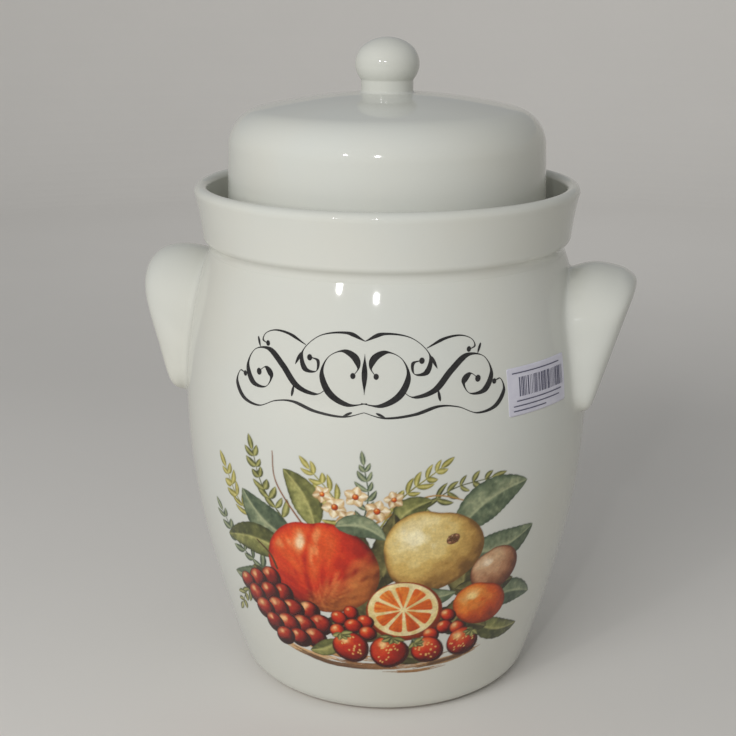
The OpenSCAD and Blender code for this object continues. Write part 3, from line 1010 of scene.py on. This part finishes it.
def quince(films, x, y, r, turn):
    """A pale yellow, slightly knobbly fruit with a dry crown at its end."""
    def outline(a):
        return 1 + 0.05 * (np.cos(3 * a + 0.5) + np.cos(a - 0.6) - np.exp(-((a - 1.2) / 0.2) ** 2))
    films.blob(x, y, r, r * 0.88, turn, round_paint(YELLOW, 31, 0.20, 0.30), outline)
    crown = np.array([x + r * 0.42, y + r * 0.26])
    films.blob(*crown, 3.6, 2.5, 0.5, round_paint(TAN, 32, 0.3, 0.5))
    for i in range(6):
        tip = crown + polar(1, i * math.pi / 3 + 0.3) * (3.4, 2.6)
        leaf(films, crown, tip, 1.3, CROWN, 40 + i, vein=0)


def cut_orange(films, x, y, r):
    """The cut face of an orange half, with its rind and its segments."""
    films.blob(x + 0.6, y - 1.2, r * 1.04, r * 0.98, 0, round_paint(ORANGE, 51, 0.2, 0.5))
    films.blob(x, y, r * 0.95, r * 0.88, 0,
               lambda dx, dy, px, py: tones(0.80 + 0.3 * (value_noise(px, py, 3, 52) - 0.5), YELLOW))

    def outline(a):
        """A wedge seen from its middle: two straight sides and the rind's arc, with eased corners."""
        open_by = math.pi / 9 * 0.86
        off = np.abs(np.sin(a)) * math.cos(open_by) - np.cos(a) * math.sin(open_by)
        side = 0.46 * math.sin(open_by) / np.maximum(off, 0.02)
        rind = np.sqrt((0.56 * np.cos(a)) ** 2 + 0.392) - 0.56 * np.cos(a)
        return (side ** -7 + rind ** -7) ** (-1 / 7)
    for i in range(9):
        way = i * 2 * math.pi / 9 + 0.2

        def paint(dx, dy, px, py):
            far = np.hypot(px - x, py - y) / r
            cells = value_noise(np.arctan2(py - y, px - x) * 14, far * 3.2, 1.0, 60 + i)
            value = 0.38 + 0.34 * cells + 0.16 * (py - y) / r - 0.10 * (px - x) / r
            return tones(brushed(value, 6), ORANGE)
        middle = (x, y) + polar(r, way) * (0.53, 0.50)
        films.blob(*middle, r * 0.93, r * 0.93, way, paint, outline, rings=6, spokes=40)
    films.blob(x, y, r * 0.08, r * 0.07, 0, rgb(240, 220, 160), rings=2, spokes=12)


def plum(films, x, y, rx, ry, turn, seed, colours):
    def outline(a):
        return 1 + 0.03 * np.cos(2 * a) - 0.05 * np.exp(-((a - 1.57) / 0.25) ** 2)
    films.blob(x, y, rx, ry, turn, round_paint(colours, seed, 0.22, 0.35), outline)


def dry_stroke(films, points, width, colour, seed):
    """A half-dry brush stroke: a few hair-thin marks side by side, of uneven length."""
    dice = random.Random(seed)
    path = smooth_path(points, 1.0)
    for k in range(4):
        a = int(dice.uniform(0, 0.25) * len(path))
        b = int(dice.uniform(0.7, 1.0) * len(path))
        part = path[a:b] + (0, (k - 1.5) * width * 0.3)
        swell = np.sin(np.linspace(0.05, math.pi - 0.05, len(part))) ** 0.5
        swell = swell * (0.6 + 0.8 * value_noise(part[:, 0], part[:, 1] * 3, 2.2, seed + k))
        films.strip(part, swell * width * 0.16, np.asarray(colour) * dice.uniform(0.8, 1.3))


def make_picture():
    """Fruit heap on the front: a peach, a quince, an orange half, plums, grapes, strawberries and leaves."""
    films = Films(PICTURE_Z)
    dice = random.Random(7)
    # Ground strokes
    ground = (([(-52, 9), (-34, 4), (-14, 2.5)], 3.0, 196, 158, 112),
              ([(-24, 3), (0, 0.5), (28, 1.5)], 3.2, 150, 108, 70),
              ([(14, 1), (40, 2), (66, 9)], 3.0, 176, 136, 92),
              ([(-44, 6), (-20, 0.5), (6, -0.5)], 2.2, 104, 76, 52),
              ([(22, -0.5), (44, 3), (60, 7)], 1.8, 110, 80, 54),
              ([(-36, 10), (-14, 6.5), (10, 5)], 3.0, 176, 132, 86),
              ([(-4, 7), (22, 4), (46, 6.5)], 2.8, 128, 96, 62),
              ([(6, -2.5), (24, -2.8), (42, -0.5)], 1.5, 150, 112, 74))
    for points, width, *colour in ground:
        dry_stroke(films, points, width, rgb(*colour), dice.randrange(900))
    # Sprigs and stems behind the fruit
    sprig(films, [(-8, 78), (-14, 96), (-26, 110)], LIME, 21, 10, 2.8, 6)
    sprig(films, [(-2, 80), (2, 98), (0, 114)], GREY_GREEN, 22, 9, 2.4, 6)
    sprig(films, [(6, 80), (18, 98), (36, 112)], LIME, 23, 10, 2.8, 7)
    sprig(films, [(16, 82), (40, 100), (62, 104)], OLIVE, 24, 11, 2.6, 7)
    sprig(films, [(-36, 76), (-52, 96), (-58, 114)], OLIVE, 25, 10, 3.4, 7)
    sprig(films, [(-44, 66), (-68, 84), (-78, 100)], LIME, 26, 11, 3.6, 7)
    sprig(films, [(-48, 46), (-70, 58), (-84, 74)], GREY_GREEN, 27, 10, 3.4, 6)
    sprig(films, [(-50, 36), (-68, 32), (-76, 20)], OLIVE, 28, 9, 3.0, 5)
    stem(films, [(4, 84), (30, 98), (52, 93)], 1.0, rgb(168, 128, 66))
    stem(films, [(-30, 80), (-44, 100), (-46, 116)], 0.9, rgb(130, 84, 52))
    # Large leaves
    leaf(films, (-34, 70), (-66, 92), 19, GREY_GREEN, 101, 0.10, 0.05)
    leaf(films, (-38, 62), (-80, 62), 17, OLIVE, 102, -0.10, 0.05)
    leaf(films, (-42, 50), (-78, 40), 15, GREY_GREEN, 103, 0.08, 0.05)
    leaf(films, (-24, 80), (-40, 108), 15, OLIVE, 104, -0.10, 0.05)
    leaf(films, (44, 78), (84, 98), 20, GREY_GREEN, 105, 0.12, 0.06)
    leaf(films, (48, 66), (90, 72), 18, GREY_GREEN, 106, -0.10, 0.06)
    leaf(films, (60, 34), (92, 30), 15, GREY_GREEN, 107, 0.12, 0.08)
    leaf(films, (54, 24), (84, 12), 13, OLIVE, 108, -0.12, 0.08)
    leaf(films, (14, 84), (32, 96), 12, OLIVE, 109, 0.10, 0.05)
    # Dark leaves that fill the heap between the fruit
    fillers = ((0, 40, -4, 84, 20), (6, 50, 14, 90, 18), (48, 40, 52, 66, 16), (10, 20, -22, 26, 16),
               (30, 30, 62, 18, 18), (44, 46, 78, 44, 14), (-20, 34, -40, 56, 16), (40, 22, 52, 44, 16),
               (0, 30, 8, 56, 20), (34, 34, 12, 20, 18), (-30, 30, -62, 50, 16), (4, 16, 30, 4, 12))
    for k, (x0, y0, x1, y1, width) in enumerate(fillers):
        leaf(films, (x0, y0), (x1, y1), width, DEEP, 300 + k, 0.06 * (-1) ** k, 0.05)
    # Blossoms
    for x, y, size in ((-14, 92, 6.5), (-4, 98, 6), (6, 91, 6.5), (-8, 86, 6), (14, 97, 5), (-20, 98, 5)):
        blossom(films, x, y, size, 200 + x)
    # Fruit from back to front
    quince(films, 32, 68, 25, 0.25)
    plum(films, 66, 53, 14, 12.5, 0.4, 71, TAN)
    peach(films, -22, 58, 28)
    leaf(films, (-14, 82), (10, 76), 11, GREY_GREEN, 110, 0.16, 0.05)
    plum(films, 58, 34, 15, 13, -0.3, 72, ORANGE)
    leaf(films, (18, 46), (44, 44), 11, GREY_GREEN, 111, -0.10, 0.05)
    cut_orange(films, 18, 36, 18)
    # Grapes at the lower left
    grapes = [(-60, 42, 6.2), (-51, 46, 6.0), (-62, 32, 6.0), (-53, 36, 6.4), (-44, 38, 6.2), (-57, 25, 6.0),
              (-48, 28, 6.4), (-39, 30, 6.2), (-30, 31, 6.0), (-51, 18, 5.8), (-42, 20, 6.3), (-33, 22, 6.2),
              (-24, 24, 6.0), (-45, 11.5, 5.6), (-36, 13, 5.9), (-27, 15, 6.0), (-68, 38, 5.2)]
    cluster(films, grapes, WINE, 81)
    stem(films, [(-46, 52), (-50, 60), (-58, 66)], 1.3, rgb(84, 60, 34))
    # Currants fill the gap in the middle
    currants = [(-14, 30, 4.0), (-8, 34, 3.8), (-7, 26, 4.2), (-15, 22, 4.0), (0, 22, 4.0), (38, 24, 4.0),
                (45, 22, 4.0), (40, 31, 3.8), (31, 20, 4.2), (-1, 29, 3.8)]
    cluster(films, currants, SCARLET, 82)
    leaf(films, (-14, 16), (-30, 6), 9, OLIVE, 112, 0.1, 0.08)
    leaf(films, (22, 18), (38, 8), 9, GREY_GREEN, 113, -0.1, 0.08)
    strawberry(films, -9, 13, 9.5, 0.5, 91)
    strawberry(films, 10, 11, 10, -0.35, 92)
    strawberry(films, 29, 11, 8.5, 0.9, 93)
    strawberry(films, 48, 13, 9, -0.9, 94)
    return films.sheet("print_picture", print_paint)


def make_scroll():
    """A pen flourish, the same to both sides of its middle, thick where the pen comes down."""
    films = Films(SCROLL_Z)
    nib = math.radians(38)
    size = 0.95

    def both_sides(path, half, across=2):
        for side in (1, -1):
            films.strip(path * (side, 1), half, across=across)

    def pen(heavy, points):
        path = smooth_path(points, 0.5) * size
        ahead = np.gradient(path, axis=0)
        press = np.abs(np.sin(np.arctan2(ahead[:, 1], ahead[:, 0]) + nib)) ** 2.4
        count = np.arange(len(path))
        ends = np.minimum(count, count[::-1])
        both_sides(path, 0.17 + heavy * press * np.clip(ends / 14, 0, 1))

    def bud(x, y, long, wide, turn):
        """A drop: round at one end and pointed at the other."""
        t = np.linspace(0, 1, 17)
        half = wide * np.sqrt(t) * np.cos(t * math.pi / 2) * 1.25 + 0.03
        both_sides(np.array([x, y]) * size + t[:, None] * polar(long, math.radians(turn)), half[::-1], 4)

    # Long wave that curls at both ends
    pen(1.45, [(5.5, 1), (3, 5), (5, 10), (11, 12.5), (18, 9), (21, 1), (17, -8), (8, -13), (-1.5, -12)])
    pen(1.35, [(18.3, -6), (24, -9), (34, -6), (42, 3), (50, 9.5), (59, 8), (63.5, 0), (60, -8), (52, -9),
               (48.5, -3.5), (52, 0.5), (56, -2)])
    # Upper curl
    pen(1.15, [(0, 17.5), (9, 21), (22, 19), (31, 11), (30, 3), (24, 2), (23, 7), (27, 8.5)])
    pen(0.75, [(29.5, 14), (38, 18), (46, 19), (52, 17), (54, 13.5), (51, 12)])
    # Lower sweep
    pen(0.95, [(0, -16.5), (10, -19), (24, -17.5), (36, -14), (46, -15), (56, -19), (66, -17), (71, -10),
               (69, -4), (65.5, -4.5)])
    bud(35, 4.2, 6.5, 1.1, 118)
    bud(35.5, -5.4, 6.0, 1.0, -78)
    bud(10.5, -18.8, 5.0, 0.9, 155)
    bud(55.5, 9.6, 5.0, 0.9, 72)
    # Dots that end the strokes
    dots = ((5.6, 1.0, 1.2), (56, -2.2, 1.4), (27.3, 8.3, 1.25), (50.8, 12.2, 1.1), (65.2, -4.7, 1.1))
    for x, y, r in dots:
        for side in (1, -1):
            films.blob(side * x * size, y * size, r, r * 1.15, 0, rings=3, spokes=20)
    # Bud in the middle
    t = np.linspace(0, 1, 30)
    films.strip([(0, 18.5 * up - 7.5) for up in t], 0.05 + 1.25 * np.sin(math.pi * t) ** 1.6, across=4)
    return films.strokes("print_scroll", scroll_ink)


def make_label():
    """Paper label with rounded corners, bent round the wall, its edge as thick as the paper."""
    round_r = 1.1
    flat_w = LABEL_W / 2 / MM - round_r
    flat_h = LABEL_H / 2 / MM - round_r
    lift = LABEL_T / MM - 0.03
    sink = 0.02
    bend = round_r * np.sin(np.linspace(0, math.pi / 2, 7))[1:]
    columns = np.concatenate([-flat_w - bend[::-1], np.linspace(-flat_w, flat_w, 60), flat_w + bend])
    inside = np.clip(np.abs(columns) - flat_w, 0, round_r)
    halves = flat_h + np.sqrt(np.maximum(round_r ** 2 - inside ** 2, 0))
    heights = np.linspace(-1, 1, 33)
    number = np.arange(len(columns) * len(heights)).reshape(-1, len(heights))
    faces = quads(*number.shape)
    rim = [*number[:, 0], *number[-1, 1:], *number[-2::-1, -1], *number[0, -2:0:-1]]
    top, n = number.size, len(rim)
    faces += [(top + k, top + (k + 1) % n, rim[(k + 1) % n], rim[k]) for k in range(n)]
    place = Films(LABEL_Z / MM, LABEL_TURN)
    flat = turned(np.repeat(columns, len(heights)), np.outer(halves, heights).ravel(), LABEL_TILT)
    flat = np.stack(flat, -1)
    return new_mesh("label", place.on_wall(flat, lift) + place.on_wall(flat[rim], -sink), faces, paper)


def make_label_marks():
    """Plain bars and rules that stand for no number and no words."""
    films = Films(LABEL_Z / MM, LABEL_TURN, LABEL_T / MM)
    dice = random.Random(12)

    def block(x0, x1, y0, y1):
        films.strip([(x, (y0 + y1) / 2) for x in np.linspace(x0, x1, 13)], (y1 - y0) / 2, across=4)
    x = -14.0
    while x < 18.5:
        width = dice.choice((0.3, 0.3, 0.5, 0.8))
        block(x, x + width, -2.6, 6.6)
        x += width + dice.choice((0.35, 0.5, 0.8))
    for left, right, y in ((-18, 16, 8.7), (-16, 17, -4.6), (-18, 15, -7.0), (-18, 4, -9.3)):
        block(left, right, y - 0.25, y + 0.25)
    return films.strokes("label_marks", label_ink)


crock = make_crock()
neck = make_neck()
collar = make_collar()
lid = make_lid()
knob = make_knob()
handle_left = make_lug("handle_left", -1, lug_shape("left_handle", LUG_EDGE_R, 2.6 * MM, 0.0))
handle_right = make_lug("handle_right", 1, lug_shape("right_handle", LUG_EDGE_R / 3, 4.2 * MM, 1.0))

glazed = ((crock, "crock_body", "pot"), (neck, "inner_neck", "pot"), (collar, "rim_collar", "pot"),
          (handle_left, "left_handle", "pot"), (handle_right, "right_handle", "pot"),
          (lid, "lid_shell", "lid"), (knob, "lid_knob", "lid"))
for piece, node, body in glazed:
    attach(piece, body)
    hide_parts(node)

for piece in (make_picture(), make_scroll()):
    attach(piece, "pot")

for side, way in (("left", -1), ("right", 1)):
    stone = make_stone("stone_" + side, way)
    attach(stone, side + "_stone")
    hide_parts(side + "_weight")

label = make_label()
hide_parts("price_label")
for piece in (label, make_label_marks()):
    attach(piece, "pot")


# Camera, at the photograph's place, height and tilt
CAMERA_AWAY = 684.5 * MM
CAMERA_UP = 365.0 * MM
CAMERA_TILT = math.radians(16.53)
CAMERA_PAN = math.radians(-0.804)
POT_TURN = math.radians(10.31)
LENS_MM = 65.81

camera_data = bpy.data.cameras.new("camera")
camera_data.sensor_width = 36
camera_data.lens = LENS_MM
camera = new_object("camera", camera_data)
camera.location = (CAMERA_AWAY * math.sin(POT_TURN), -CAMERA_AWAY * math.cos(POT_TURN), CAMERA_UP)
heading = CAMERA_PAN - POT_TURN
look = Vector((math.sin(heading) * math.cos(CAMERA_TILT), math.cos(heading) * math.cos(CAMERA_TILT),
               -math.sin(CAMERA_TILT)))
camera.rotation_euler = look.to_track_quat("-Z", "Y").to_euler()
bpy.context.scene.camera = camera


# Floor, backdrop and lights

STAGE = (0.80, 0.775, 0.735)


def stage_material(name, colour):
    material, tree, shader = node_material(name)
    tint = ramp(tree, noise(tree, 6, 3.0), (0.3, tuple(c * 0.985 for c in colour)), (0.7, colour))
    fill(tree, shader, Base_Color=tint, Roughness=0.9, Specular_IOR_Level=0.2)
    return material


# Floor and backdrop are one round sweep, so that every side shows the same plain ground
SWEEP_FLAT_R = 1.5
SWEEP_CURVE_R = 0.7
sweep_side = [(0, 0), (SWEEP_FLAT_R / 2, 0)] + arc(SWEEP_FLAT_R, SWEEP_CURVE_R, SWEEP_CURVE_R, -90, 0, 32)
floor = lathe("floor", sweep_side, stage_material("pale_floor", STAGE), turns=128)


SKY = 0.35
SKY_SEEN = (0.41, 0.395, 0.37)
POT_MIDDLE = (0, 0, 0.17)

# Name, place, target, size in metres, power in watts, and whether the glaze mirrors the lamp. The wide
# key lights the pot softly, backdrop_lamp lights the backdrop alone, and two small lamps show in the glaze.
LAMPS = (("key", (-0.50, -1.30, 0.78), POT_MIDDLE, 0.9, 10.4, False),
         ("backdrop_lamp", (0, 0.9, 1.2), (0, 2.2, 0.7), 1.0, 3.5, False),
         ("flash", (0.05, -0.69, 0.49), POT_MIDDLE, 0.03, 0.45, True),
         ("lamp_left", (-0.20, -0.63, 0.50), POT_MIDDLE, 0.035, 0.25, True))


def area_light(name, place, target, size, power, mirrored):
    data = bpy.data.lights.new(name, "AREA")
    data.size = size
    data.energy = power
    obj = new_object(name, data)
    obj.location = place
    obj.rotation_euler = (Vector(target) - Vector(place)).to_track_quat("-Z", "Y").to_euler()
    obj.visible_glossy = mirrored


world = bpy.data.worlds.new("studio")
bpy.context.scene.world = world
world.use_nodes = True
sky = world.node_tree
seen = add(sky, "LightPath").outputs["Is Camera Ray"]
light = tuple(SKY * c for c in (0.97, 0.985, 1.0))
fill(sky, sky.nodes["Background"], Color=mix(sky, seen, light, SKY_SEEN))

for lamp in LAMPS:
    area_light(*lamp)

bpy.context.scene.view_settings.view_transform = "Standard"
